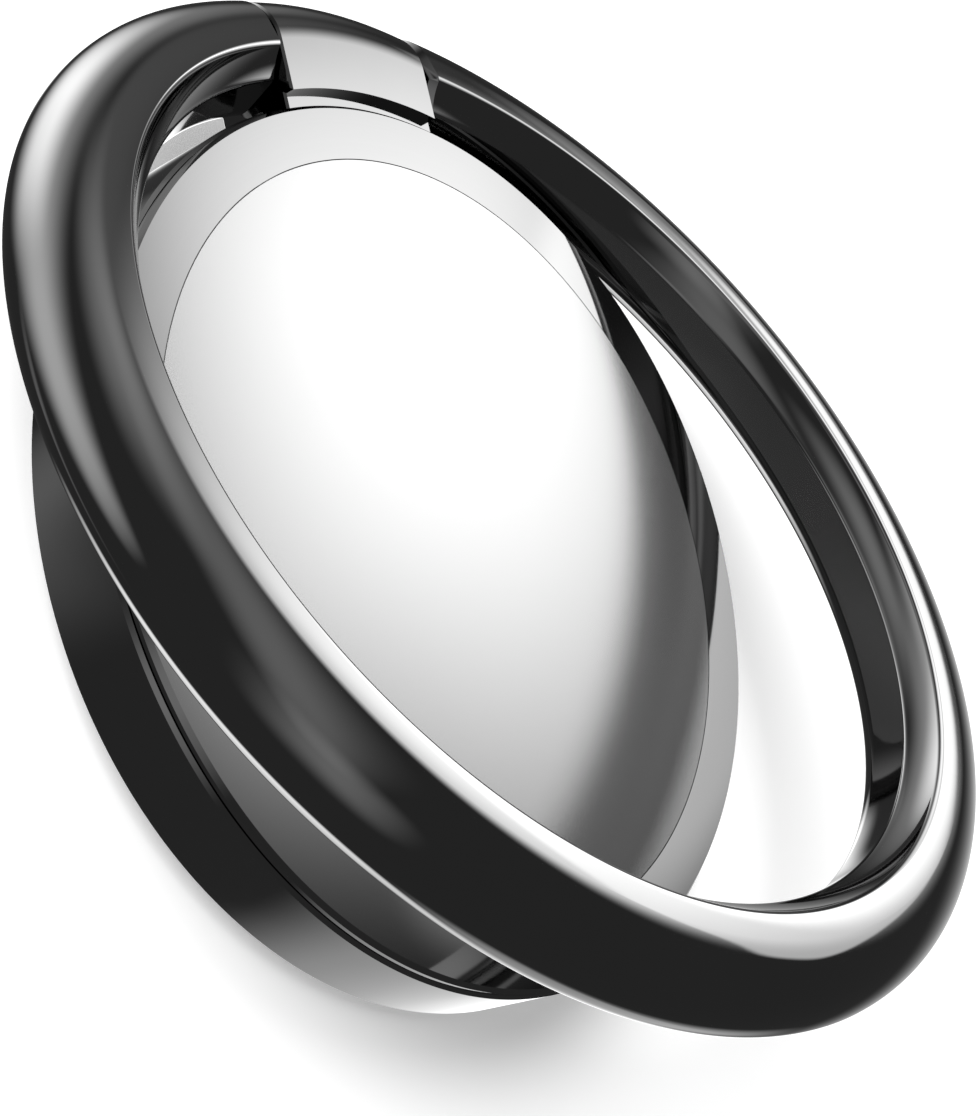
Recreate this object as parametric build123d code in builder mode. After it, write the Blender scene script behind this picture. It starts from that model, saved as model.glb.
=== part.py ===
"""Phone ring holder: a turning collar on a stick-on base, with a finger ring hinged to its lug.

The origin is at the centre of the adhesive face. +Z points out of the front face, and the hinge is at +Y.
All sizes are in millimetres and angles in degrees.
"""

import os
from math import atan2, degrees

from build123d import *

# Adhesive pad and base plate
pad_radius = 14.0
pad_thickness = 0.8
base_thickness = 1.0
base_standoff = 0.4
base_clearance = 0.3
hub_radius = 6.0

# Turning collar
collar_radius = 15.65
collar_wall = 0.75
collar_depth = 3.1
collar_edge_chamfer = 0.12
hub_clearance = 0.05
running_gap = 0.03

# Friction washer and disc spring, both round the hub
washer_clearance = 0.3
washer_width = 3.2
washer_thickness = 0.3
spring_width = 3.6
spring_thickness = 0.25
spring_height = 0.56

# Front cap and inlay
cap_inset = 0.1
cap_gap = 0.1
cap_rim_thickness = 0.3
cap_rim_width = 2.0
cap_edge_chamfer = 0.15
cap_floor_thickness = 0.45
cap_dish_wall = 0.65
inlay_thickness = 0.5
inlay_seam = 0.05
inlay_edge_chamfer = 0.05

# Centre rivet, with a flush head at both ends
rivet_radius = 1.5
rivet_head_radius = 2.6
rivet_clearance = 0.02

# Finger ring, drawn closed round the collar
ring_gap = 0.6
ring_width = 3.75
ring_front_setback = 0.05
bevel_width = 0.8
bevel_depth = 1.0
bevel_edge_round = 0.15
front_round = 2.0
rear_inner_round = 1.0
shoulder_lift = 0.5
ring_end_chamfer = 0.25
ring_open_angle = 17.8

# Hinge lug and pin
lug_width = 7.5
lug_gap = 0.6
lug_edge_chamfer = 0.08
seam_gap = 0.12
pin_radius = 0.6
pin_inset = 1.63
pin_height = 1.4
pin_engagement = 2.0
pin_end_chamfer = 0.15
pin_end_room = 0.2
pin_press_clearance = 0.01
pin_running_clearance = 0.05

# Heights above the adhesive face
base_front_z = pad_thickness + base_thickness
collar_rear_z = pad_thickness + base_standoff
collar_front_z = collar_rear_z + collar_depth
cap_front_z = collar_front_z + cap_gap + cap_rim_thickness
inlay_rear_z = cap_front_z - inlay_thickness
cap_rear_z = inlay_rear_z - cap_floor_thickness
washer_front_z = base_front_z + washer_thickness
web_rear_z = washer_front_z + running_gap
web_front_z = cap_rear_z - spring_height - running_gap
ring_front_z = cap_front_z - ring_front_setback
widest_z = ring_front_z - front_round
pin_z = collar_rear_z + pin_height

# Radii
collar_inner_radius = collar_radius - collar_wall
base_radius = collar_inner_radius - base_clearance
web_bore_radius = hub_radius + hub_clearance
washer_inner_radius = hub_radius + washer_clearance
cap_radius = collar_radius - cap_inset
recess_radius = cap_radius - cap_rim_width
inlay_radius = recess_radius - inlay_seam
cap_dish_radius = recess_radius + cap_dish_wall
ring_inner_radius = collar_radius + ring_gap
hoop_radius = ring_inner_radius + ring_width
rear_crest_radius = ring_inner_radius + rear_inner_round
lug_inner_radius = cap_radius + lug_gap
neck_root_radius = collar_radius - collar_wall / 2
pin_y = ring_inner_radius + pin_inset

# Rear of the hoop: the shoulder's arc and the wide sweep's arc meet where they share a tangent
rear_rise = widest_z - collar_rear_z
shoulder_radius = rear_rise - shoulder_lift
sweep_reach = hoop_radius - shoulder_radius - rear_crest_radius
sweep_radius = (sweep_reach**2 + rear_rise**2 - shoulder_radius**2) / (2 * shoulder_lift)
shoulder_end_angle = degrees(atan2(rear_rise - sweep_radius, sweep_reach))

# The ring's own plane: closed it lies in XY, and it opens about the hinge pin
hinge_point = (0, pin_y, pin_z)
opened = Location(hinge_point, (-ring_open_angle, 0, 0))
ring_plane = Plane(opened * Location((0, -pin_y, -pin_z)))
ring_section_plane = Plane(ring_plane.origin, x_dir=ring_plane.x_dir, z_dir=-ring_plane.y_dir)
ring_axis = Axis(ring_plane.origin, ring_plane.z_dir)
ring_cut_width = lug_width + 2 * seam_gap


def draw_hoop_outside():
    """Draw the outside that the ring and the lug share: a round front, a tight rear shoulder and a flat sweep."""
    CenterArc((hoop_radius - front_round, widest_z), front_round, 0, 90)
    CenterArc((hoop_radius - shoulder_radius, widest_z), shoulder_radius, shoulder_end_angle, -shoulder_end_angle)
    CenterArc((rear_crest_radius, collar_rear_z + sweep_radius), sweep_radius, 270, 90 + shoulder_end_angle)


def rivet_section(gap):
    """Half section of the rivet, with square-cone heads, widened by a gap."""
    head = rivet_head_radius + gap
    shank = rivet_radius + gap
    cone = rivet_head_radius - rivet_radius
    with BuildSketch(Plane.XZ) as section:
        with BuildLine():
            Polyline(
                (0, pad_thickness),
                (head, pad_thickness),
                (shank, pad_thickness + cone),
                (shank, inlay_rear_z - cone),
                (head, inlay_rear_z),
                (0, inlay_rear_z),
                close=True,
            )
        make_face()
    return section.sketch


# Adhesive pad, stuck to the rear of the base plate
with BuildPart() as adhesive_pad:
    with BuildSketch():
        Circle(pad_radius)
    extrude(amount=pad_thickness)
adhesive_pad.part.label = "adhesive_pad"

# Base plate: a flange behind the collar's web and the hub that the collar turns on
with BuildPart() as base_plate:
    with BuildSketch(Plane.XY.offset(pad_thickness)):
        Circle(base_radius)
    extrude(amount=base_thickness)
    with BuildSketch(Plane.XY.offset(base_front_z)):
        Circle(hub_radius)
    extrude(amount=cap_rear_z - base_front_z)
    revolve(rivet_section(rivet_clearance), axis=Axis.Z, mode=Mode.SUBTRACT)
base_plate.part.label = "base_plate"

# Friction washer, flat on the base plate
with BuildPart() as friction_washer:
    with BuildSketch(Plane.XY.offset(base_front_z)):
        Circle(washer_inner_radius + washer_width)
        Circle(washer_inner_radius, mode=Mode.SUBTRACT)
    extrude(amount=washer_thickness)
friction_washer.part.label = "friction_washer"

# Disc spring: a shallow cone, its inner edge under the cap and its outer edge over the collar's web
with BuildPart() as disc_spring:
    with BuildSketch(Plane.XZ):
        with BuildLine():
            Polyline(
                (washer_inner_radius, cap_rear_z - spring_thickness),
                (washer_inner_radius, cap_rear_z),
                (washer_inner_radius + spring_width, cap_rear_z - spring_height + spring_thickness),
                (washer_inner_radius + spring_width, cap_rear_z - spring_height),
                close=True,
            )
        make_face()
    revolve(axis=Axis.Z)
disc_spring.part.label = "disc_spring"

# Front cap: a lid with a dished floor for the inlay and a thin polished rim over the collar
with BuildPart() as front_cap:
    with BuildSketch(Plane.XZ):
        with BuildLine():
            Polyline(
                (0, cap_rear_z),
                (cap_dish_radius, cap_rear_z),
                (cap_dish_radius, cap_front_z - cap_rim_thickness),
                (cap_radius, cap_front_z - cap_rim_thickness),
                (cap_radius, cap_front_z - cap_edge_chamfer),
                (cap_radius - cap_edge_chamfer, cap_front_z),
                (recess_radius, cap_front_z),
                (recess_radius, inlay_rear_z),
                (0, inlay_rear_z),
                close=True,
            )
        make_face()
    revolve(axis=Axis.Z)
    revolve(rivet_section(rivet_clearance), axis=Axis.Z, mode=Mode.SUBTRACT)
front_cap.part.label = "front_cap"

# Inlay: a plain disc bonded into the cap's recess
with BuildPart() as front_inlay:
    with BuildSketch(Plane.XY.offset(inlay_rear_z)):
        Circle(inlay_radius)
    extrude(amount=inlay_thickness)
    chamfer(front_inlay.edges().group_by(Axis.Z)[-1], inlay_edge_chamfer)
front_inlay.part.label = "front_inlay"

# Centre rivet through the cap's floor, the hub and the base plate
with BuildPart() as centre_rivet:
    revolve(rivet_section(0), axis=Axis.Z)
centre_rivet.part.label = "centre_rivet"

# Hinge lug with its neck: the hoop's outside turned about the axis, cut to parallel sides
with BuildPart() as hinge_lug:
    with BuildSketch(Plane.XZ):
        with BuildLine():
            draw_hoop_outside()
            Polyline(
                (hoop_radius - front_round, ring_front_z),
                (lug_inner_radius, ring_front_z),
                (lug_inner_radius, collar_front_z),
                (neck_root_radius, collar_front_z),
                (neck_root_radius, collar_rear_z),
                (rear_crest_radius, collar_rear_z),
            )
        make_face()
    revolve(axis=Axis.Z)
    with BuildSketch(Plane.XY):
        with Locations((0, hoop_radius / 2)):
            Rectangle(lug_width, hoop_radius)
    extrude(amount=cap_front_z, mode=Mode.INTERSECT)
    chamfer(hinge_lug.faces().filter_by(Axis.X).edges(), lug_edge_chamfer)

# Turning collar: outer wall, web on the hub, neck and lug in one casting
with BuildPart() as swivel_collar:
    with BuildSketch(Plane.XZ):
        with BuildLine():
            Polyline(
                (collar_radius - collar_edge_chamfer, collar_rear_z),
                (collar_radius, collar_rear_z + collar_edge_chamfer),
                (collar_radius, collar_front_z - collar_edge_chamfer),
                (collar_radius - collar_edge_chamfer, collar_front_z),
                (collar_inner_radius, collar_front_z),
                (collar_inner_radius, web_front_z),
                (web_bore_radius, web_front_z),
                (web_bore_radius, web_rear_z),
                (collar_inner_radius, web_rear_z),
                (collar_inner_radius, collar_rear_z),
                close=True,
            )
        make_face()
    revolve(axis=Axis.Z)
    add(hinge_lug.part)
    with BuildSketch(Plane.YZ):
        with Locations((pin_y, pin_z)):
            Circle(pin_radius + pin_press_clearance)
    extrude(amount=lug_width / 2, both=True, mode=Mode.SUBTRACT)
swivel_collar.part.label = "swivel_collar"

# Hinge pin, pressed into the lug
with BuildPart() as hinge_pin:
    with BuildSketch(Plane.YZ):
        with Locations((pin_y, pin_z)):
            Circle(pin_radius)
    extrude(amount=lug_width / 2 + pin_engagement, both=True)
    chamfer(hinge_pin.faces().filter_by(Axis.X).edges(), pin_end_chamfer)
hinge_pin.part.label = "hinge_pin"

# Finger ring: bevelled front-inner edge, flat inner wall, rounded outside, open where the lug sits
with BuildPart() as finger_ring:
    with BuildSketch(ring_section_plane):
        with BuildLine():
            draw_hoop_outside()
            Polyline(
                (hoop_radius - front_round, ring_front_z),
                (ring_inner_radius + bevel_width, ring_front_z),
                (ring_inner_radius, ring_front_z - bevel_depth),
                (ring_inner_radius, collar_rear_z + rear_inner_round),
            )
            CenterArc((rear_crest_radius, collar_rear_z + rear_inner_round), rear_inner_round, 180, 90)
        make_face()
    revolve(axis=ring_axis)
    with BuildSketch(ring_plane):
        with Locations((0, hoop_radius / 2 + neck_root_radius / 2)):
            Rectangle(ring_cut_width, hoop_radius)
    extrude(amount=cap_front_z, mode=Mode.SUBTRACT)
    chamfer(finger_ring.faces().filter_by(Axis.X).edges(), ring_end_chamfer)
    bevel = finger_ring.faces().filter_by(GeomType.CONE).sort_by(SortBy.AREA)[-1]
    fillet(bevel.edges().filter_by(GeomType.CIRCLE), bevel_edge_round)
    with BuildSketch(Plane.YZ):
        with Locations((pin_y, pin_z)):
            Circle(pin_radius + pin_running_clearance)
    extrude(amount=lug_width / 2 + pin_engagement + pin_end_room, both=True, mode=Mode.SUBTRACT)
finger_ring.part.label = "finger_ring"

os.makedirs("parts", exist_ok=True)
pieces = [
    adhesive_pad,
    base_plate,
    friction_washer,
    disc_spring,
    front_cap,
    front_inlay,
    centre_rivet,
    swivel_collar,
    hinge_pin,
    finger_ring,
]
for piece in pieces:
    export_step(piece.part, f"parts/{piece.part.label}.step")
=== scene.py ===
"""Phone ring holder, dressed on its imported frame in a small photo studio.

All lengths are in metres and in the frame of the part: the adhesive face lies on the floor,
+Z points out of the front face and the hinge is at +Y.
"""

from __future__ import annotations

import logging
import math
from dataclasses import dataclass, field
from enum import Enum
from typing import Any, Callable, Sequence

import bmesh
import bpy
from mathutils import Matrix, Vector

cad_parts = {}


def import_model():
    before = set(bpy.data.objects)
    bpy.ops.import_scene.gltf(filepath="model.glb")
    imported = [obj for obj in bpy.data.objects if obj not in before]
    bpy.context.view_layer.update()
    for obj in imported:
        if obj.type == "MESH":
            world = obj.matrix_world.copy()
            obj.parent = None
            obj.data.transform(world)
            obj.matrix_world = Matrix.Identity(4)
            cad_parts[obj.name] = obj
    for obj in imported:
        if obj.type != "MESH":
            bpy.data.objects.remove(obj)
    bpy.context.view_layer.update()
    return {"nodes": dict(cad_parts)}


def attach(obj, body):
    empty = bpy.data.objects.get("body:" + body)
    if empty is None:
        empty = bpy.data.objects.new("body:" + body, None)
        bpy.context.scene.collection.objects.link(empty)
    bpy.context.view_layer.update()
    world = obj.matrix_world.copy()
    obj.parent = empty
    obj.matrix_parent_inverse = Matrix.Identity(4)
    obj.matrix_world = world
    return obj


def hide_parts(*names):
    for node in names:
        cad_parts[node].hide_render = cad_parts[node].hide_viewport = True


LOG = logging.getLogger("ring_holder")

MM = 0.001
FULL_TURN = 2 * math.pi
MERGE = 1e-6
DRILL_SIDES = 48
HINGE_PIN = (17.88 * MM, 2.6 * MM)
# Sockets of a Mix node that is set to colours.
MIX_FACTOR, MIX_DARK, MIX_LIGHT, MIX_RESULT = 0, 6, 7, 2
# A ray whose count of mirror bounces is above this has met a second mirror.
ONE_REFLECTION = 1.5


class Body(str, Enum):
    """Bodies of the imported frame."""

    BASE = "base"
    COLLAR = "collar"
    RING = "ring"


class Start(Enum):
    """Where a half piece's section is drawn, as the sign of Y."""

    HINGE = 1
    FAR_SIDE = -1


class Sock:
    """A shader value in an expression: each operator adds a Math node to its tree."""

    def __init__(self, tree: bpy.types.NodeTree, socket: bpy.types.NodeSocket) -> None:
        """Wrap a socket of a node tree.

        Args:
            tree: the tree that new Math nodes go to.
            socket: the output socket that holds the value.
        """
        self.tree = tree
        self.socket = socket

    def math(self, operation: str, *others: Sock | float, first: float | None = None) -> Sock:
        """Add a Math node.

        Args:
            operation: the Math node's operation.
            others: the values after this one.
            first: a number to put before this value, for reflected operators.

        Returns:
            The node's value.
        """
        node = self.tree.nodes.new("ShaderNodeMath")
        node.operation = operation
        values: list[Sock | float] = [self, *others] if first is None else [first, self, *others]
        for slot, value in zip(node.inputs, values):
            if isinstance(value, Sock):
                self.tree.links.new(value.socket, slot)
            else:
                slot.default_value = value
        return Sock(self.tree, node.outputs[0])

    def __add__(self, other: Sock | float) -> Sock:
        """Sum."""
        return self.math("ADD", other)

    def __radd__(self, other: float) -> Sock:
        """Sum with a number in front."""
        return self.math("ADD", first=other)

    def __sub__(self, other: Sock | float) -> Sock:
        """Difference."""
        return self.math("SUBTRACT", other)

    def __rsub__(self, other: float) -> Sock:
        """Difference from a number."""
        return self.math("SUBTRACT", first=other)

    def __mul__(self, other: Sock | float) -> Sock:
        """Product."""
        return self.math("MULTIPLY", other)

    def __rmul__(self, other: float) -> Sock:
        """Product with a number in front."""
        return self.math("MULTIPLY", first=other)

    def __pow__(self, other: Sock | float) -> Sock:
        """Power."""
        return self.math("POWER", other)


class Shader:
    """The node tree of one material, world or lamp panel."""

    def __init__(self, tree: bpy.types.NodeTree) -> None:
        """Start with an empty tree.

        Args:
            tree: the node tree to fill.
        """
        self.tree = tree
        tree.nodes.clear()

    def node(
        self, kind: str, settings: dict[str, Any], inputs: dict[str | int, Any]
    ) -> bpy.types.Node:
        """Add a node.

        Args:
            kind: the node's type.
            settings: its properties, set first.
            inputs: values or links of its sockets, by name or number.

        Returns:
            The node.
        """
        node = self.tree.nodes.new(kind)
        for name, value in settings.items():
            setattr(node, name, value)
        for name, value in inputs.items():
            slot = node.inputs[name]
            if isinstance(value, Sock):
                self.tree.links.new(value.socket, slot)
            elif isinstance(value, bpy.types.NodeSocket):
                self.tree.links.new(value, slot)
            else:
                slot.default_value = value
        return node

    def value(self, node: bpy.types.Node, output: str | int = 0) -> Sock:
        """Wrap a node's output for expressions."""
        return Sock(self.tree, node.outputs[output])

    def object_point(self) -> Sock:
        """The point of the surface in the frame of the part."""
        return self.value(self.node("ShaderNodeTexCoord", {}, {}), "Object")

    def noise(self, point: Sock, scale: float, detail: float, roughness: float = 0.5) -> Sock:
        """A noise field between 0 and 1.

        Args:
            point: where it is read.
            scale: cells per metre.
            detail: octaves.
            roughness: weight of the finer octaves.

        Returns:
            The noise value.
        """
        wanted = {"Vector": point, "Scale": scale, "Detail": detail, "Roughness": roughness}
        return self.value(self.node("ShaderNodeTexNoise", {}, wanted), "Fac")

    def tint(self, factor: Sock, dark: tuple[float, ...], light: tuple[float, ...]) -> Sock:
        """Mix two colours by a value.

        Args:
            factor: 0 for the dark colour and 1 for the light one.
            dark: linear colour.
            light: linear colour.

        Returns:
            The mixed colour.
        """
        wanted = {MIX_FACTOR: factor, MIX_DARK: (*dark, 1.0), MIX_LIGHT: (*light, 1.0)}
        return self.value(self.node("ShaderNodeMix", {"data_type": "RGBA"}, wanted), MIX_RESULT)

    def bump(self, height: Sock, distance: float) -> Sock:
        """Turn a height into a normal.

        Args:
            height: the height, in units of distance.
            distance: metres per unit of height.

        Returns:
            The normal.
        """
        wanted = {"Height": height, "Distance": distance, "Strength": 1.0}
        return self.value(self.node("ShaderNodeBump", {}, wanted))

    def surface(self, inputs: dict[str | int, Any]) -> None:
        """Finish the tree with a Principled shader."""
        shader = self.node("ShaderNodeBsdfPrincipled", {}, inputs)
        self.node("ShaderNodeOutputMaterial", {}, {"Surface": shader.outputs[0]})


def new_material(name: str) -> tuple[bpy.types.Material, Shader]:
    """Make an empty node material.

    Args:
        name: its name.

    Returns:
        The material and its shader tree.
    """
    material = bpy.data.materials.new(name)
    material.use_nodes = True
    return material, Shader(material.node_tree)


class Lay(Enum):
    """What the fine lines of a turned or ground metal follow."""

    ROUND_THE_AXIS = "rings"
    ROUND_THE_PIN = "hoops"


def grey(level: float) -> tuple[float, float, float]:
    """A neutral linear colour."""
    return (level, level, level)


@dataclass(frozen=True)
class BlackNickel:
    """Mirror plating on a polished casting, with a faint waviness and polishing haze."""

    name: str = "black_nickel"
    dark: float = 0.34
    light: float = 0.37
    roughness: float = 0.028
    haze: float = 0.025
    wave_depth: float = 5e-7
    clouds_per_metre: float = 180.0
    dust_per_metre: float = 9000.0
    waves_per_metre: float = 700.0

    def build(self) -> bpy.types.Material:
        """Make the material.

        Returns:
            The material.
        """
        material, shader = new_material(self.name)
        point = shader.object_point()
        cloud = shader.noise(point, self.clouds_per_metre, detail=3.0)
        dust = shader.noise(point, self.dust_per_metre, detail=2.0)
        wave = shader.noise(point, self.waves_per_metre, detail=2.0)
        shader.surface(
            {
                "Base Color": shader.tint(cloud, grey(self.dark), grey(self.light)),
                "Metallic": 1.0,
                "Roughness": cloud * self.haze + dust * (self.haze / 2) + self.roughness,
                "Normal": shader.bump(wave, self.wave_depth),
            }
        )
        return material


@dataclass(frozen=True)
class LinedMetal:
    """Metal with the fine lines of turning, grinding or buffing."""

    name: str
    dark: float
    light: float
    roughness: float
    spread: float
    lines_per_metre: float
    line_depth: float
    lay: Lay = Lay.ROUND_THE_AXIS
    line_share: float = 0.6
    line_stretch: float = 0.02
    clouds_per_metre: float = 240.0

    def build(self) -> bpy.types.Material:
        """Make the material.

        Returns:
            The material.
        """
        material, shader = new_material(self.name)
        point = shader.object_point()
        split = shader.node("ShaderNodeSeparateXYZ", {}, {"Vector": point})
        x, y, z = (shader.value(split, axis) for axis in "XYZ")
        if self.lay is Lay.ROUND_THE_AXIS:
            across, along = (x * x + y * y) ** 0.5, z
        else:
            across, along = x, y
        wanted = {"X": across, "Y": along * self.line_stretch}
        stretched = shader.value(shader.node("ShaderNodeCombineXYZ", {}, wanted))
        lines = shader.noise(stretched, self.lines_per_metre, detail=4.0, roughness=0.65)
        cloud = shader.noise(point, self.clouds_per_metre, detail=3.0)
        tone = lines * self.line_share + cloud * (1 - self.line_share)
        shader.surface(
            {
                "Base Color": shader.tint(tone, grey(self.dark), grey(self.light)),
                "Metallic": 1.0,
                "Roughness": lines * self.spread + cloud * (self.spread / 2) + self.roughness,
                "Normal": shader.bump(lines, self.line_depth),
            }
        )
        return material


@dataclass(frozen=True)
class BlastedMetal:
    """Satin metal with the even grain of fine blasting."""

    name: str = "satin_metal"
    dark: float = 0.48
    light: float = 0.53
    metallic: float = 0.9
    roughness: float = 0.19
    spread: float = 0.04
    grains_per_metre: float = 9000.0
    grain_depth: float = 1.2e-7
    grain_share: float = 0.5
    clouds_per_metre: float = 150.0

    def build(self) -> bpy.types.Material:
        """Make the material.

        Returns:
            The material.
        """
        material, shader = new_material(self.name)
        point = shader.object_point()
        grain = shader.noise(point, self.grains_per_metre, detail=2.0)
        cloud = shader.noise(point, self.clouds_per_metre, detail=3.0)
        tone = grain * self.grain_share + cloud * (1 - self.grain_share)
        shader.surface(
            {
                "Base Color": shader.tint(tone, grey(self.dark), grey(self.light)),
                "Metallic": self.metallic,
                "Roughness": grain * self.spread + cloud * (self.spread / 2) + self.roughness,
                "Normal": shader.bump(grain, self.grain_depth),
            }
        )
        return material


@dataclass(frozen=True)
class Nylon:
    """Natural nylon sheet, slightly clouded, with a fine moulded skin."""

    name: str = "nylon"
    dark: tuple[float, float, float] = (0.74, 0.72, 0.66)
    light: tuple[float, float, float] = (0.85, 0.84, 0.79)
    roughness: float = 0.4
    spread: float = 0.15
    skin_per_metre: float = 5000.0
    skin_depth: float = 3e-6
    clouds_per_metre: float = 320.0

    def build(self) -> bpy.types.Material:
        """Make the material.

        Returns:
            The material.
        """
        material, shader = new_material(self.name)
        point = shader.object_point()
        cloud = shader.noise(point, self.clouds_per_metre, detail=4.0)
        skin = shader.noise(point, self.skin_per_metre, detail=2.0)
        shader.surface(
            {
                "Base Color": shader.tint(cloud, self.dark, self.light),
                "Roughness": skin * self.spread + self.roughness,
                "Normal": shader.bump(skin, self.skin_depth),
            }
        )
        return material


@dataclass(frozen=True)
class AdhesiveFoam:
    """Black closed-cell foam tape: its cells show as fine pits."""

    name: str = "adhesive_foam"
    dark: tuple[float, float, float] = (0.012, 0.012, 0.013)
    light: tuple[float, float, float] = (0.05, 0.05, 0.052)
    cells_per_metre: float = 2600.0
    pit_depth: float = 5e-5
    pit_share: float = 0.7
    roughness: float = 0.7
    spread: float = 0.2
    clouds_per_metre: float = 400.0

    def build(self) -> bpy.types.Material:
        """Make the material.

        Returns:
            The material.
        """
        material, shader = new_material(self.name)
        point = shader.object_point()
        wanted = {"Vector": point, "Scale": self.cells_per_metre}
        cells = shader.value(shader.node("ShaderNodeTexVoronoi", {}, wanted), "Distance")
        cloud = shader.noise(point, self.clouds_per_metre, detail=3.0)
        tone = cells * self.pit_share + cloud * (1 - self.pit_share)
        shader.surface(
            {
                "Base Color": shader.tint(tone, self.dark, self.light),
                "Roughness": cloud * self.spread + self.roughness,
                "Normal": shader.bump(cells, self.pit_depth),
            }
        )
        return material


class Pen:
    """A mesh in hand: a profile drawn point by point, then turned and cut by operators."""

    def __init__(self, name: str, plane_axis: Vector) -> None:
        """Start a mesh from a primitive.

        Args:
            name: the piece's name.
            plane_axis: normal of the plane that the profile is drawn in.
        """
        bpy.ops.object.select_all(action="DESELECT")
        bpy.ops.mesh.primitive_plane_add(size=MM)
        self.piece = bpy.context.active_object
        self.piece.name = name
        self.piece.data.name = name
        self.plane_axis = plane_axis
        bpy.ops.object.mode_set(mode="EDIT")
        bpy.ops.mesh.select_mode(type="VERT")
        bpy.ops.mesh.select_all(action="SELECT")
        bpy.ops.mesh.merge(type="CENTER")
        self.place = Vector((0.0, 0.0, 0.0))

    def start(self, point: Vector) -> None:
        """Put the pen at the profile's first point."""
        bpy.ops.transform.translate(value=point - self.place)
        self.place = point.copy()

    def line(self, point: Vector) -> None:
        """Draw a straight edge to a point."""
        step = {"value": point - self.place}
        bpy.ops.mesh.extrude_vertices_move(TRANSFORM_OT_translate=step)
        self.place = point.copy()

    def arc(self, centre: Vector, turn: float, steps: int) -> None:
        """Draw an arc.

        Args:
            centre: the arc's centre.
            turn: its angle in radians, about the plane's axis.
            steps: number of edges.
        """
        bpy.ops.mesh.spin(steps=steps, angle=-turn, center=centre, axis=self.plane_axis)
        self.place = centre + Matrix.Rotation(turn, 3, self.plane_axis) @ (self.place - centre)

    def close(self) -> None:
        """Join the last point to the first."""
        bpy.ops.mesh.select_all(action="SELECT")
        bpy.ops.mesh.remove_doubles(threshold=MERGE)
        mesh = bmesh.from_edit_mesh(self.piece.data)
        ends = [v for v in mesh.verts if len(v.link_edges) < 2]
        self.pick(lambda v: v in ends)
        if ends:
            bpy.ops.mesh.edge_face_add()

    def turn(self, angle: float, steps: int) -> None:
        """Spin the whole profile about the disc's axis.

        Args:
            angle: radians.
            steps: number of faces round.
        """
        bpy.ops.mesh.select_all(action="SELECT")
        bpy.ops.mesh.spin(steps=steps, angle=-angle, center=(0, 0, 0), axis=(0, 0, 1))
        self.weld()

    def weld(self) -> None:
        """Merge doubles and point all faces outwards."""
        bpy.ops.mesh.select_all(action="SELECT")
        bpy.ops.mesh.remove_doubles(threshold=MERGE)
        bpy.ops.mesh.normals_make_consistent(inside=False)

    def pick(self, wanted: Callable[[bmesh.types.BMVert], bool]) -> None:
        """Select the vertices that a test accepts, with the edges and faces between them.

        Args:
            wanted: the test.
        """
        bpy.ops.mesh.select_mode(type="VERT")
        bpy.ops.mesh.select_all(action="DESELECT")
        mesh = bmesh.from_edit_mesh(self.piece.data)
        for vert in mesh.verts:
            vert.select = wanted(vert)
        mesh.select_flush_mode()
        bmesh.update_edit_mesh(self.piece.data)

    def pick_edges(self, wanted: Callable[[bmesh.types.BMEdge], bool]) -> None:
        """Select the edges that a test accepts.

        Args:
            wanted: the test.
        """
        bpy.ops.mesh.select_mode(type="EDGE")
        bpy.ops.mesh.select_all(action="DESELECT")
        mesh = bmesh.from_edit_mesh(self.piece.data)
        for edge in mesh.edges:
            edge.select = wanted(edge)
        mesh.select_flush_mode()
        bmesh.update_edit_mesh(self.piece.data)

    def end_at_plane(self, start: Start, nominal: float, offset: float, chamfer: float) -> None:
        """Stretch a half turn to end at a plane across X, and close it with a chamfered end.

        Args:
            start: where its section was drawn.
            nominal: the angle that it was turned by.
            offset: the end's distance from the mid plane.
            chamfer: width of the chamfer round the end.
        """
        inward = -1 if start is Start.FAR_SIDE else 1
        plane = offset - inward * chamfer
        mesh = bmesh.from_edit_mesh(self.piece.data)
        for vert in mesh.verts:
            reach = math.hypot(vert.co.x, vert.co.y)
            short = math.asin(plane / reach)
            wanted = short if start is Start.HINGE else math.pi - short
            swing = math.atan2(abs(vert.co.x), start.value * vert.co.y) * wanted / nominal
            vert.co.x = reach * math.sin(swing)
            vert.co.y = start.value * reach * math.cos(swing)
        bmesh.update_edit_mesh(self.piece.data)

        def at_end(vert: bmesh.types.BMVert) -> bool:
            """Whether a vertex lies in the end's plane."""
            return abs(vert.co.x - plane) < MERGE

        self.pick_edges(lambda e: e.is_boundary and all(at_end(v) for v in e.verts))
        bpy.ops.mesh.edge_face_add()
        bpy.ops.mesh.select_all(action="SELECT")
        bpy.ops.mesh.normals_make_consistent(inside=False)
        self.pick(at_end)
        bpy.ops.mesh.inset(thickness=chamfer, depth=chamfer, use_boundary=True)

    def round_crease(self, radius: float, height: float, reach: float, segments: int) -> None:
        """Round a sharp crease that runs round the axis.

        Args:
            radius: the crease's distance from the axis.
            height: its height.
            reach: how far the rounding reaches on each side.
            segments: faces across the rounding.
        """
        near = MERGE * 5

        def on_crease(vert: bmesh.types.BMVert) -> bool:
            """Whether a vertex lies on the crease."""
            off = math.hypot(vert.co.x, vert.co.y) - radius
            return abs(off) < near and abs(vert.co.z - height) < near

        self.pick_edges(lambda e: all(on_crease(v) for v in e.verts))
        bpy.ops.mesh.bevel(offset=reach, offset_type="OFFSET", segments=segments, affect="EDGES")

    def lay_down(self) -> bpy.types.Object:
        """Leave edit mode and return the piece."""
        bpy.ops.object.mode_set(mode="OBJECT")
        return self.piece


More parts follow.
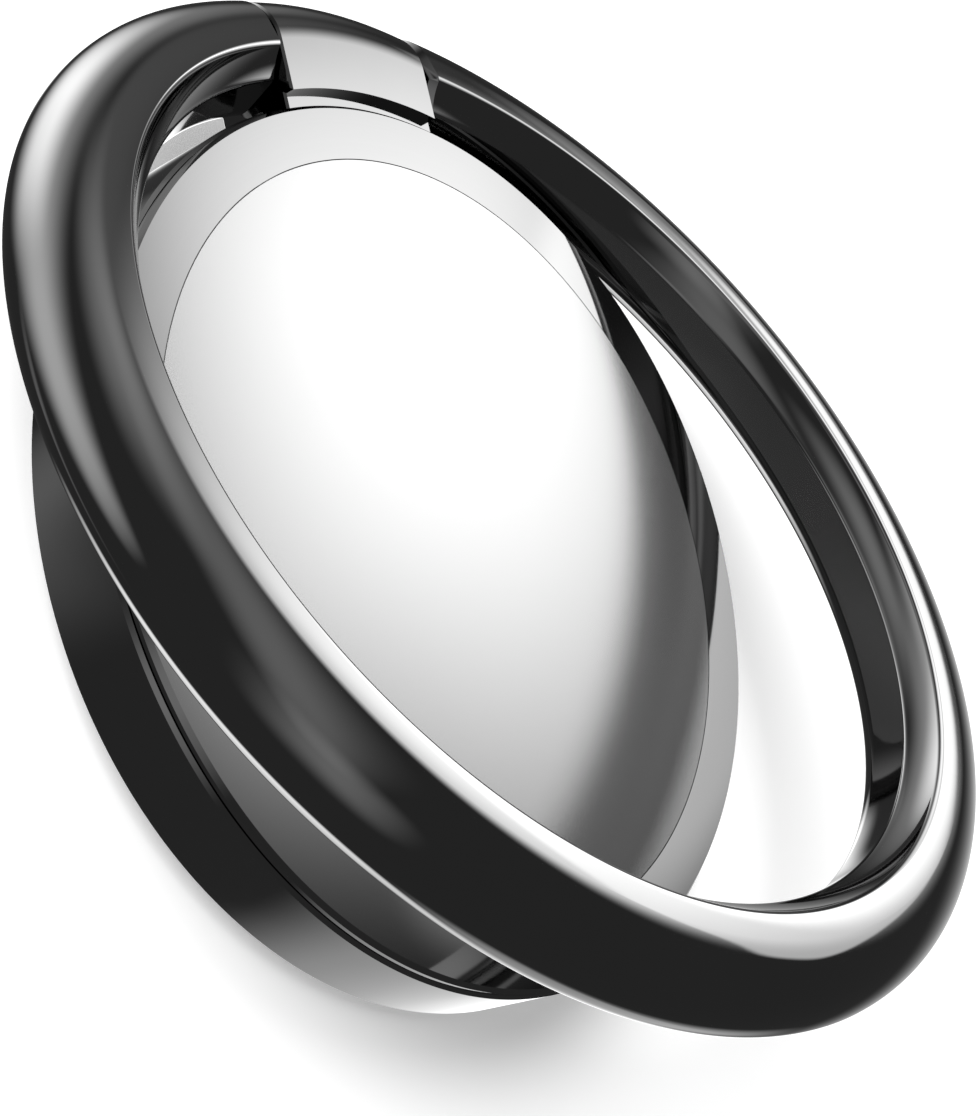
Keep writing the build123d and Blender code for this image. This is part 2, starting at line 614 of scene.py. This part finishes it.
def apply_modifier(piece: bpy.types.Object, kind: str, settings: dict[str, Any]) -> None:
    """Add a modifier to a piece and apply it.

    Args:
        piece: the piece.
        kind: the modifier's type.
        settings: its properties.
    """
    modifier = piece.modifiers.new(kind.lower(), kind)
    for name, value in settings.items():
        setattr(modifier, name, value)
    bpy.ops.object.select_all(action="DESELECT")
    bpy.context.view_layer.objects.active = piece
    piece.select_set(True)
    bpy.ops.object.modifier_apply(modifier=modifier.name)


def mirror_across_mid_plane(piece: bpy.types.Object) -> None:
    """Complete a half piece across the mid plane, with its faces outwards.

    Args:
        piece: the half piece.
    """
    settings = {"use_axis": (True, False, False), "merge_threshold": 2 * MERGE}
    apply_modifier(piece, "MIRROR", settings)
    bpy.ops.object.mode_set(mode="EDIT")
    bpy.ops.mesh.select_all(action="SELECT")
    bpy.ops.mesh.normals_make_consistent(inside=False)
    bpy.ops.object.mode_set(mode="OBJECT")


def drill_for_pin(
    piece: bpy.types.Object, pin: tuple[float, float], radius: float, half_length: float
) -> None:
    """Bore a piece along the hinge pin.

    Args:
        piece: the piece.
        pin: the pin's Y and Z.
        radius: the bore's radius.
        half_length: how far the bore reaches to each side.
    """
    bpy.ops.object.select_all(action="DESELECT")
    bpy.ops.mesh.primitive_cylinder_add(
        vertices=DRILL_SIDES,
        radius=radius,
        depth=2 * half_length,
        location=(0, *pin),
        rotation=(0, math.pi / 2, 0),
    )
    drill = bpy.context.active_object
    settings = {"operation": "DIFFERENCE", "object": drill, "solver": "EXACT"}
    apply_modifier(piece, "BOOLEAN", settings)
    bpy.data.objects.remove(drill)


def smooth(piece: bpy.types.Object, degrees: float = 25.0) -> None:
    """Shade a piece smooth, with its sharp edges kept.

    Args:
        piece: the piece.
        degrees: the angle from which an edge stays sharp.
    """
    bpy.ops.object.select_all(action="DESELECT")
    bpy.context.view_layer.objects.active = piece
    piece.select_set(True)
    bpy.ops.object.shade_smooth_by_angle(angle=math.radians(degrees))


def give_finish(piece: bpy.types.Object, material: bpy.types.Material) -> None:
    """Give a piece its one material."""
    piece.data.materials.clear()
    piece.data.materials.append(material)


def seat(piece: bpy.types.Object, body: Body, slot: str, *nodes: str) -> None:
    """Put a finished piece on its body in place of the frame's nodes.

    Args:
        piece: the piece.
        body: the body that it moves with.
        slot: the name of its material slot; not used.
        nodes: the nodes that it stands for.
    """
    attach(piece, body.value)
    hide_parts(*nodes)
    LOG.info("%s: %d faces on %s", piece.name, len(piece.data.polygons), body.value)


@dataclass(frozen=True)
class HoopForm:
    """Section that the ring and the lug share, as distances from the disc's axis and heights."""

    inner: float = 16.25 * MM
    outer: float = 20.0 * MM
    front: float = 4.65 * MM
    rear: float = 1.2 * MM
    front_round: float = 2.0 * MM
    inner_round: float = 1.0 * MM
    shoulder_lift: float = 0.5 * MM
    front_steps: int = 28
    shoulder_steps: int = 18
    sweep_steps: int = 14

    @property
    def widest(self) -> float:
        """Height where the outside is widest."""
        return self.front - self.front_round

    @property
    def crest(self) -> float:
        """Distance of the rear crest from the axis."""
        return self.inner + self.inner_round

    def draw_outside(self, pen: Pen, at: Callable[[float, float], Vector]) -> None:
        """Draw the outside from the flat front round to the rear crest.

        Args:
            pen: the pen, standing at the end of the flat front.
            at: turns a distance and a height into a point of the pen's plane.
        """
        rise = self.widest - self.rear
        shoulder = rise - self.shoulder_lift
        reach = self.outer - shoulder - self.crest
        sweep = (reach**2 + rise**2 - shoulder**2) / (2 * self.shoulder_lift)
        meet = math.atan2(sweep - rise, reach)
        pen.arc(at(self.outer - self.front_round, self.widest), math.pi / 2, self.front_steps)
        pen.arc(at(self.outer - shoulder, self.widest), meet, self.shoulder_steps)
        pen.arc(at(self.crest, self.rear + sweep), math.pi / 2 - meet, self.sweep_steps)


@dataclass
class FingerRing:
    """The C-shaped finger ring, modelled closed and opened about its hinge pin."""

    form: HoopForm
    bevel_width: float = 0.8 * MM
    bevel_depth: float = 1.0 * MM
    bevel_hollow: float = 2.4 * MM
    front_crease_round: float = 0.3 * MM
    inner_crease_round: float = 0.25 * MM
    cut: float = 3.87 * MM
    end_chamfer: float = 0.25 * MM
    pin: tuple[float, float] = HINGE_PIN
    bore: float = 0.65 * MM
    bore_end: float = 5.95 * MM
    open_angle: float = math.radians(17.8)
    half_steps: int = 180
    bevel_steps: int = 8
    rear_steps: int = 18
    front_crease_faces: int = 6
    inner_crease_faces: int = 4

    def build(self) -> bpy.types.Object:
        """Model the ring.

        Returns:
            The finished piece.
        """
        form = self.form
        pen = Pen("finger_ring_dressed", Vector((1, 0, 0)))

        def at(reach: float, height: float) -> Vector:
            """A point of the section opposite the hinge."""
            return Vector((0, -reach, height))

        crease = (form.inner + self.bevel_width, form.front)
        inner_crease = (form.inner, form.front - self.bevel_depth)
        pen.start(at(*inner_crease))
        self.draw_bevel(pen, at(*inner_crease), at(*crease))
        pen.line(at(form.outer - form.front_round, form.front))
        form.draw_outside(pen, at)
        pen.arc(at(form.crest, form.rear + form.inner_round), math.pi / 2, self.rear_steps)
        pen.close()
        pen.turn(math.pi, self.half_steps)
        pen.end_at_plane(Start.FAR_SIDE, math.pi, self.cut, self.end_chamfer)
        steep = math.atan2(self.bevel_depth, self.bevel_width)
        front_reach = self.front_crease_round * math.tan(steep / 2)
        inner_reach = self.inner_crease_round * math.tan((math.pi / 2 - steep) / 2)
        pen.round_crease(*crease, front_reach, self.front_crease_faces)
        pen.round_crease(*inner_crease, inner_reach, self.inner_crease_faces)
        ring = pen.lay_down()
        mirror_across_mid_plane(ring)
        drill_for_pin(ring, self.pin, self.bore, self.bore_end)
        self.open(ring)
        smooth(ring)
        return ring

    def draw_bevel(self, pen: Pen, inner: Vector, front: Vector) -> None:
        """Draw the bevel, which is ground a little hollow, from the inner to the front crease.

        Args:
            pen: the pen, standing at the inner crease.
            inner: the inner crease.
            front: the front crease.
        """
        half = (front - inner) / 2
        towards_axis = half.cross(pen.plane_axis).normalized()
        lift = math.sqrt(self.bevel_hollow**2 - half.length_squared)
        sweep = -2 * math.asin(half.length / self.bevel_hollow)
        pen.arc(inner + half + towards_axis * lift, sweep, self.bevel_steps)

    def open(self, ring: bpy.types.Object) -> None:
        """Open the ring about its pin.

        Args:
            ring: the closed ring.
        """
        bpy.ops.object.mode_set(mode="EDIT")
        bpy.ops.mesh.select_all(action="SELECT")
        bpy.ops.transform.rotate(
            value=self.open_angle, orient_axis="X", center_override=(0, *self.pin)
        )
        bpy.ops.object.mode_set(mode="OBJECT")

    def dress(self, ring: bpy.types.Object, plating: bpy.types.Material) -> None:
        """Plate the finished ring and seat it on its body."""
        give_finish(ring, plating)
        seat(ring, Body.RING, "black_nickel", "finger_ring")


@dataclass
class SwivelCollar:
    """The turning collar with its neck and hinge lug in one casting."""

    form: HoopForm
    radius: float = 15.65 * MM
    wall: float = 0.75 * MM
    rear: float = 1.2 * MM
    front: float = 4.3 * MM
    edge: float = 0.12 * MM
    web_bore: float = 6.05 * MM
    web_rear: float = 2.13 * MM
    web_front: float = 3.16 * MM
    lug_inner: float = 16.15 * MM
    lug_half: float = 3.75 * MM
    lug_edge: float = 0.08 * MM
    lug_spread: float = math.radians(17.0)
    bore: float = 0.61 * MM
    pin: tuple[float, float] = HINGE_PIN
    steps: int = 360
    lug_steps: int = 24

    def build(self) -> bpy.types.Object:
        """Model the collar.

        Returns:
            The finished piece.
        """
        collar = self.build_wall()
        lug = self.build_lug()
        settings = {"operation": "UNION", "object": lug, "solver": "EXACT"}
        apply_modifier(collar, "BOOLEAN", settings)
        bpy.data.objects.remove(lug)
        drill_for_pin(collar, self.pin, self.bore, 2 * self.lug_half)
        smooth(collar)
        return collar

    def build_wall(self) -> bpy.types.Object:
        """Turn the outer wall with its web.

        Returns:
            The collar without its lug.
        """
        inner = self.radius - self.wall
        return turned(
            "swivel_collar_dressed",
            [
                (self.radius - self.edge, self.rear),
                (self.radius, self.rear + self.edge),
                (self.radius, self.front - self.edge),
                (self.radius - self.edge, self.front),
                (inner, self.front),
                (inner, self.web_front),
                (self.web_bore, self.web_front),
                (self.web_bore, self.web_rear),
                (inner, self.web_rear),
                (inner, self.rear),
            ],
            self.steps,
        )

    def build_lug(self) -> bpy.types.Object:
        """Model the lug with its neck, half at a time.

        Returns:
            The lug, to be joined to the wall.
        """
        form = self.form
        pen = Pen("hinge_lug", Vector((-1, 0, 0)))

        def at(reach: float, height: float) -> Vector:
            """A point of the section at the hinge."""
            return Vector((0, reach, height))

        root = self.radius - self.wall / 2
        pen.start(at(self.lug_inner, form.front))
        pen.line(at(form.outer - form.front_round, form.front))
        form.draw_outside(pen, at)
        pen.line(at(root, form.rear))
        pen.line(at(root, self.front))
        pen.line(at(self.lug_inner, self.front))
        pen.close()
        pen.turn(-self.lug_spread, self.lug_steps)
        pen.end_at_plane(Start.HINGE, self.lug_spread, self.lug_half, self.lug_edge)
        lug = pen.lay_down()
        mirror_across_mid_plane(lug)
        return lug

    def dress(self, collar: bpy.types.Object, plating: bpy.types.Material) -> None:
        """Plate the finished collar and seat it on its body."""
        give_finish(collar, plating)
        seat(collar, Body.COLLAR, "black_nickel", "swivel_collar")


def turned(name: str, outline: Sequence[tuple[float, float]], steps: int) -> bpy.types.Object:
    """Turn a closed outline about the disc's axis.

    Args:
        name: the piece's name.
        outline: distances from the axis and heights, in order.
        steps: faces round.

    Returns:
        The piece, not yet shaded.
    """
    pen = Pen(name, Vector((0, -1, 0)))
    points = [Vector((reach, 0, height)) for reach, height in outline]
    pen.start(points[0])
    for point in points[1:]:
        pen.line(point)
    if outline[0][0] > 0:
        pen.close()
    pen.turn(FULL_TURN, steps)
    return pen.lay_down()


@dataclass
class FrontFace:
    """The front cap and the inlay in its recess."""

    cap_radius: float = 15.55 * MM
    cap_front: float = 4.7 * MM
    rim: float = 0.3 * MM
    edge: float = 0.15 * MM
    dish: float = 14.2 * MM
    floor_rear: float = 3.75 * MM
    recess: float = 13.55 * MM
    recess_floor: float = 4.2 * MM
    rivet_head: float = 2.62 * MM
    inlay_radius: float = 13.53 * MM
    inlay_edge: float = 0.02 * MM
    steps: int = 360
    cap_finish: LinedMetal = LinedMetal(
        "polished_metal",
        dark=0.345,
        light=0.365,
        roughness=0.028,
        spread=0.02,
        lines_per_metre=9000.0,
        line_depth=3e-8,
    )
    inlay_finish: BlastedMetal = BlastedMetal()

    def build_cap(self) -> bpy.types.Object:
        """Turn the cap.

        Returns:
            The finished piece.
        """
        cone = self.recess_floor - self.floor_rear
        cap = turned(
            "front_cap_dressed",
            [
                (self.rivet_head - cone, self.floor_rear),
                (self.dish, self.floor_rear),
                (self.dish, self.cap_front - self.rim),
                (self.cap_radius, self.cap_front - self.rim),
                (self.cap_radius, self.cap_front - self.edge),
                (self.cap_radius - self.edge, self.cap_front),
                (self.recess, self.cap_front),
                (self.recess, self.recess_floor),
                (self.rivet_head, self.recess_floor),
            ],
            self.steps,
        )
        smooth(cap)
        return cap

    def build_inlay(self) -> bpy.types.Object:
        """Turn the inlay.

        Returns:
            The finished piece.
        """
        inlay = turned(
            "front_inlay_dressed",
            [
                (0, self.recess_floor),
                (self.inlay_radius, self.recess_floor),
                (self.inlay_radius, self.cap_front - self.inlay_edge),
                (self.inlay_radius - self.inlay_edge, self.cap_front),
                (0, self.cap_front),
            ],
            self.steps,
        )
        smooth(inlay)
        return inlay

    def dress_cap(self, cap: bpy.types.Object) -> None:
        """Polish the finished cap and seat it on the base."""
        give_finish(cap, self.cap_finish.build())
        seat(cap, Body.BASE, "polished_metal", "front_cap")

    def dress_inlay(self, inlay: bpy.types.Object) -> None:
        """Blast the finished inlay and seat it on the base."""
        give_finish(inlay, self.inlay_finish.build())
        seat(inlay, Body.BASE, "satin_metal", "front_inlay")


@dataclass
class AdhesivePad:
    """The foam pad under the base plate, with its edge pressed slightly round."""

    radius: float = 14.0 * MM
    thickness: float = 0.8 * MM
    edge: float = 0.12 * MM
    edge_steps: int = 6
    steps: int = 240
    finish: AdhesiveFoam = AdhesiveFoam()

    def build(self) -> bpy.types.Object:
        """Turn the pad.

        Returns:
            The finished piece.
        """
        inner = self.radius - self.edge
        swing = [math.pi / 2 * step / self.edge_steps for step in range(self.edge_steps + 1)]
        low = [
            (inner + self.edge * math.sin(turn), self.edge * (1 - math.cos(turn))) for turn in swing
        ]
        high = [(reach, self.thickness - height) for reach, height in reversed(low)]
        outline = [(0, 0), *low, *high, (0, self.thickness)]
        pad = turned("adhesive_pad_dressed", outline, self.steps)
        smooth(pad)
        return pad

    def dress(self, pad: bpy.types.Object) -> None:
        """Give the finished pad its foam and seat it on the base."""
        give_finish(pad, self.finish.build())
        seat(pad, Body.BASE, "adhesive_foam", "adhesive_pad")


@dataclass
class HiddenWorks:
    """The pieces under and behind the cap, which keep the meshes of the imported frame."""

    plate_metal: LinedMetal = LinedMetal(
        "base_metal",
        dark=0.36,
        light=0.5,
        roughness=0.26,
        spread=0.2,
        lines_per_metre=5000.0,
        line_depth=6e-7,
    )
    washer_sheet: Nylon = Nylon()
    spring_steel: LinedMetal = LinedMetal(
        "steel",
        dark=0.5,
        light=0.64,
        roughness=0.22,
        spread=0.18,
        lines_per_metre=7000.0,
        line_depth=4e-7,
    )
    pin_steel: LinedMetal = LinedMetal(
        "ground_steel",
        dark=0.52,
        light=0.64,
        roughness=0.16,
        spread=0.14,
        lines_per_metre=12000.0,
        line_depth=2e-7,
        lay=Lay.ROUND_THE_PIN,
    )

    def dress(self, nodes: dict[str, bpy.types.Object]) -> None:
        """Give each piece its finish.

        Args:
            nodes: the frame's nodes by name.
        """
        finishes = {
            self.plate_metal.build(): ["base_plate"],
            self.washer_sheet.build(): ["friction_washer"],
            self.spring_steel.build(): ["disc_spring", "centre_rivet"],
            self.pin_steel.build(): ["hinge_pin"],
        }
        for material, names in finishes.items():
            for name in names:
                nodes[name].material_slots[0].material = material
                LOG.info("%s: %s", name, material.name)


@dataclass(frozen=True)
class Panel:
    """A soft light panel round the object, seen only in its reflections.

    Azimuth, elevation, width, height and roll are in degrees, as seen from the object. The glow
    is even over the core, fades out at the edge and leans along the panel by the slope. The echo
    is the share of the glow that a second reflection keeps.
    """

    name: str
    azimuth: float
    elevation: float
    width: float
    height: float
    glow: float
    roll: float = 0.0
    core: float = 0.5
    squareness: float = 3.0
    slope: float = 0.0
    distance: float = 2.0
    echo: float = 0.3

    def build(self, aim: Vector) -> None:
        """Hang the panel.

        Args:
            aim: the point that it faces.
        """
        swing, lift = math.radians(self.azimuth), math.radians(self.elevation)
        level = math.cos(lift)
        out = Vector((math.cos(swing) * level, math.sin(swing) * level, math.sin(lift)))
        along = Vector((-math.sin(swing), math.cos(swing), 0))
        along = Matrix.Rotation(math.radians(self.roll), 3, out) @ along
        across = along.cross(out)
        bpy.ops.object.select_all(action="DESELECT")
        bpy.ops.mesh.primitive_plane_add(size=2.0)
        panel = bpy.context.active_object
        panel.name = self.name
        span = self.distance * math.tan(math.radians(self.width / 2))
        rise = self.distance * math.tan(math.radians(self.height / 2))
        axes = Matrix((along * span, across * rise, out)).transposed().to_4x4()
        panel.matrix_world = Matrix.Translation(aim + out * self.distance) @ axes
        panel.data.materials.append(self.build_material())
        panel.visible_camera = False
        panel.visible_diffuse = False
        panel.visible_shadow = False

    def build_material(self) -> bpy.types.Material:
        """Make the glow, which fades towards the edge and is weaker in a second reflection.

        Returns:
            The material.
        """
        material, shader = new_material(self.name)
        split = shader.node("ShaderNodeSeparateXYZ", {}, {"Vector": shader.object_point()})
        along, across = shader.value(split, "X"), shader.value(split, "Y")
        power = self.squareness
        corners = along.math("ABSOLUTE") ** power + across.math("ABSOLUTE") ** power
        wanted = {
            "Value": corners ** (1 / power),
            "From Min": self.core,
            "From Max": 1.0,
            "To Min": 1.0,
            "To Max": 0.0,
        }
        fade = shader.node("ShaderNodeMapRange", {"interpolation_type": "SMOOTHSTEP"}, wanted)
        bounces = shader.value(shader.node("ShaderNodeLightPath", {}, {}), "Glossy Depth")
        first = 1.0 - bounces.math("GREATER_THAN", ONE_REFLECTION) * (1 - self.echo)
        strength = shader.value(fade) * self.glow * (along * self.slope + 1.0) * first
        wanted = {"Color": (1, 1, 1, 1), "Strength": strength}
        glow = shader.node("ShaderNodeEmission", {}, wanted)
        clear = shader.node("ShaderNodeBsdfTransparent", {}, {})
        both = shader.node("ShaderNodeAddShader", {}, {0: glow.outputs[0], 1: clear.outputs[0]})
        shader.node("ShaderNodeOutputMaterial", {}, {"Surface": both.outputs[0]})
        material.cycles.emission_sampling = "NONE"
        return material


@dataclass
class Studio:
    """The floor, the light and the camera."""

    aim: Vector = field(default_factory=lambda: Vector((0, 0, 6 * MM)))
    ambient: float = 0.045
    floor_glow: float = 0.4
    floor_paint: float = 0.8
    floor_size: float = 6.0
    backdrop_glow: float = 1.0
    backdrop_radius: float = 3.4
    backdrop_faces: tuple[int, int] = (96, 48)
    lamp_place: tuple[float, float, float] = (-0.5, 0.36, 0.62)
    lamp_power: float = 5.4
    lamp_spread: float = math.radians(42.0)
    lens: float = 72.958
    sensor: float = 36.0
    clip: tuple[float, float] = (1 * MM, 10.0)
    camera_rows: tuple[tuple[float, float, float, float], ...] = (
        (0.63279, 0.01513, -0.77417, -59.011 * MM),
        (-0.22360, 0.96078, -0.16399, -13.559 * MM),
        (0.74133, 0.27688, 0.61136, 51.978 * MM),
        (0, 0, 0, 1),
    )

    panels: tuple[Panel, ...] = (
        Panel("key_panel", 20.4, 26.5, 47, 11.2, 0.69, roll=-42, core=0.79, squareness=4, slope=-0.7),
        Panel("key_core", 24.7, 20.8, 20.3, 6.3, 1.63, roll=-33, core=0.51, slope=0.21),
        Panel("near_card", 0.1, -17, 63.7, 78.7, 0.64, roll=-42, core=0.05, squareness=2, slope=0.09),
        Panel("side_card", 86.9, -22.2, 65.3, 53.4, 1.54, roll=-3, core=0.12, slope=-0.7),
        Panel("side_wash", 107.3, -11.7, 136.5, 66.5, 0.87, roll=-3, core=0.05, slope=0.7),
        Panel("top_wash", 87, 63.7, 140, 41.1, 0.23, roll=41, core=0.05, slope=0.4),
        Panel("back_wash", -154.8, 34.5, 45.2, 64.2, 0.25, roll=17, core=0.05, slope=0.7),
        Panel("low_wash", -65.9, -32.8, 64.9, 35.4, 0.67, roll=6, core=0.37, slope=0.56),
        Panel("low_card", -62.4, -70.5, 50.1, 57.7, 1.54, roll=30, core=0.45, slope=-0.67),
        Panel("low_spot", -22.2, -43.3, 66.3, 25.7, 1.34, roll=27, core=0.29, slope=0.54),
        Panel("floor_card", 27.6, -42.4, 37.6, 9.8, 2.2, roll=-18, core=0.05, slope=-0.37),
        Panel("rear_wash", 152.2, -48.9, 52.8, 9.5, 0.19, roll=-8, core=0.05, slope=-0.7),
        Panel("bevel_card", 101.5, 37.4, 76.9, 40.7, 0.32, roll=21, core=0.05, slope=-0.23, distance=0.06),
        Panel("cap_card", 24.7, 36.8, 66.9, 44.8, 2.44, roll=-23, core=0.05, slope=0.7, distance=0.06),
    )

    def build(self) -> None:
        """Set up the studio."""
        self.build_world()
        self.build_floor()
        self.build_backdrop()
        self.build_lamp()
        for panel in self.panels:
            panel.build(self.aim)
        self.build_camera()
        bpy.context.scene.view_settings.view_transform = "Standard"
        LOG.info("studio: %d panels", len(self.panels))

    def build_world(self) -> None:
        """Fill the room with a dim, even light."""
        world = bpy.data.worlds.new("studio_room")
        bpy.context.scene.world = world
        world.use_nodes = True
        shader = Shader(world.node_tree)
        wanted = {"Color": (1, 1, 1, 1), "Strength": self.ambient}
        room = shader.node("ShaderNodeBackground", {}, wanted)
        shader.node("ShaderNodeOutputWorld", {}, {"Surface": room.outputs[0]})

    def build_floor(self) -> None:
        """Lay the pale floor, which glows like a lit table and stays out of the mirrors."""
        bpy.ops.object.select_all(action="DESELECT")
        bpy.ops.mesh.primitive_plane_add(size=self.floor_size)
        floor = bpy.context.active_object
        floor.name = "studio_floor"
        material, shader = new_material("pale_floor")
        shader.surface(
            {
                "Base Color": (self.floor_paint,) * 3 + (1,),
                "Roughness": 0.9,
                "Specular IOR Level": 0.0,
                "Emission Color": (1, 1, 1, 1),
                "Emission Strength": self.floor_glow,
            }
        )
        floor.data.materials.append(material)
        floor.visible_glossy = False

    def build_backdrop(self) -> None:
        """Close the room with a pale round backdrop that only the camera sees."""
        bpy.ops.object.select_all(action="DESELECT")
        around, up = self.backdrop_faces
        bpy.ops.mesh.primitive_uv_sphere_add(
            segments=around, ring_count=up, radius=self.backdrop_radius
        )
        backdrop = bpy.context.active_object
        backdrop.name = "studio_backdrop"
        material, shader = new_material("pale_backdrop")
        wanted = {"Color": (1, 1, 1, 1), "Strength": self.backdrop_glow}
        glow = shader.node("ShaderNodeEmission", {}, wanted)
        shader.node("ShaderNodeOutputMaterial", {}, {"Surface": glow.outputs[0]})
        material.cycles.emission_sampling = "NONE"
        backdrop.data.materials.append(material)
        backdrop.visible_glossy = False
        backdrop.visible_diffuse = False
        backdrop.visible_shadow = False

    def build_lamp(self) -> None:
        """Hang the soft lamp that draws the shadow on the floor."""
        data = bpy.data.lights.new("soft_lamp", "SUN")
        data.angle = self.lamp_spread
        data.energy = self.lamp_power
        lamp = bpy.data.objects.new("soft_lamp", data)
        bpy.context.scene.collection.objects.link(lamp)
        lamp.location = self.lamp_place
        lamp.rotation_euler = (self.aim - lamp.location).to_track_quat("-Z", "Y").to_euler()
        lamp.visible_glossy = False
        lamp.visible_camera = False

    def build_camera(self) -> None:
        """Place the camera where the photograph was taken from."""
        data = bpy.data.cameras.new("camera")
        data.lens = self.lens
        data.sensor_width = self.sensor
        data.clip_start, data.clip_end = self.clip
        camera = bpy.data.objects.new("camera", data)
        bpy.context.scene.collection.objects.link(camera)
        camera.matrix_world = Matrix(self.camera_rows)
        bpy.context.scene.camera = camera


def main() -> None:
    """Build every piece on the frame, and the studio round it."""
    logging.basicConfig(level=logging.INFO, format="%(name)s: %(message)s")
    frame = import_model()

    plating = BlackNickel().build()
    form = HoopForm()
    ring_work = FingerRing(form)
    ring_work.dress(ring_work.build(), plating)
    collar_work = SwivelCollar(form)
    collar_work.dress(collar_work.build(), plating)

    face = FrontFace()
    face.dress_cap(face.build_cap())
    face.dress_inlay(face.build_inlay())
    pad_work = AdhesivePad()
    pad_work.dress(pad_work.build())
    HiddenWorks().dress(frame["nodes"])

    Studio().build()


if __name__ == "__main__":
    main()
